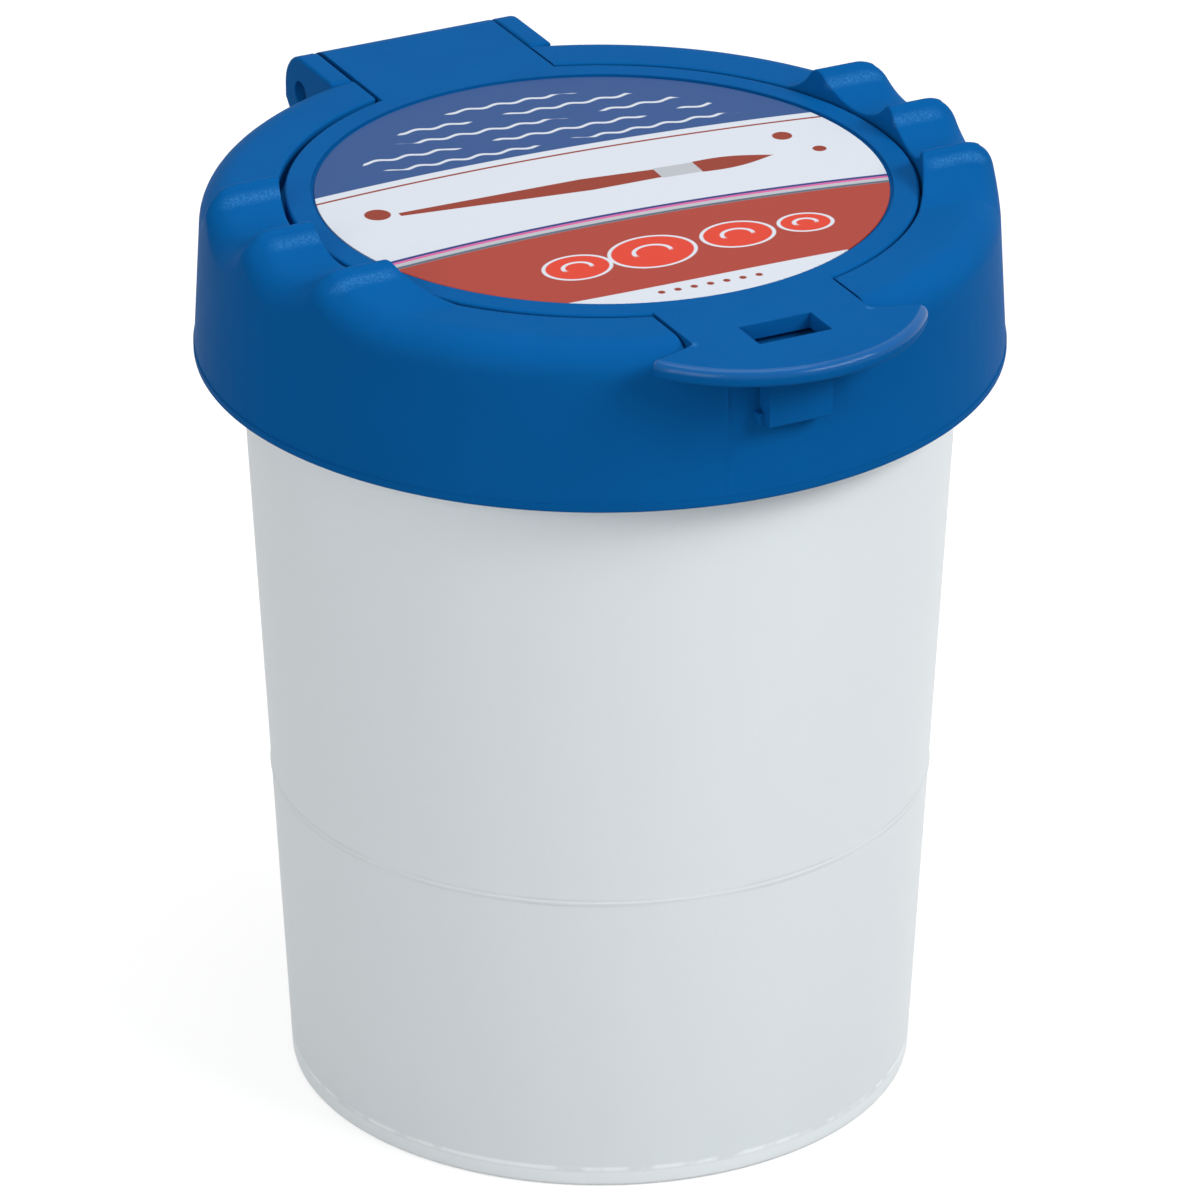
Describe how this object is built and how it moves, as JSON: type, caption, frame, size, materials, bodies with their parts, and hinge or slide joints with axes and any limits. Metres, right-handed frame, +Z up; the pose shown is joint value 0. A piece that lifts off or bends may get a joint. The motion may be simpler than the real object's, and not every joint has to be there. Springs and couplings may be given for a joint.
{
  "type": "water cup with lid",
  "caption": "Spill-proof water cup for rinsing brushes, with a screw collar, a hinged snap flap and scalloped brush rests.",
  "frame": {"origin": "centre of the cup's foot, on the surface it stands on", "axes": "+Z up through the cup, -Y towards the latch tab, +Y towards the hinge, +X to the right seen from the latch side"},
  "size_m": [0.08, 0.0936, 0.097],
  "materials": {
    "frosted_plastic": "frosted natural polypropylene",
    "blue_plastic": "fine satin texture",
    "natural_plastic": "natural polypropylene",
    "gasket_rubber": "soft pale elastomer",
    "label_film": "printed film, satin",
    "pin_plastic": "smooth"
  },
  "bodies": {
    "cup": {"cup": "frosted_plastic"},
    "carrier": {"spill_funnel": "natural_plastic", "rim_gasket": "gasket_rubber"},
    "collar": {"screw_collar": "blue_plastic"},
    "flap": {"flap_lid": "blue_plastic", "flap_seal": "gasket_rubber", "flap_label": "label_film", "hinge_pin": "pin_plastic"}
  },
  "joints": [
    {"name": "collar_lift", "type": "slide", "parent": "cup", "child": "carrier", "axis": [0, 0, 1], "range_m": [0, 0.005]},
    {"name": "collar_turn", "type": "hinge", "parent": "carrier", "child": "collar", "pos_m": [0, 0, 0], "axis": [0, 0, 1], "range_deg": [0, 450]},
    {"name": "flap_hinge", "type": "hinge", "parent": "collar", "child": "flap", "pos_m": [0, 0.04243, 0.0905], "axis": [-1, 0, 0], "range_deg": [0, 135]}
  ],
  "couplings": [
    {"joint": "collar_lift", "follows": "collar_turn", "m_per_rad": 0.0006366}
  ]
}
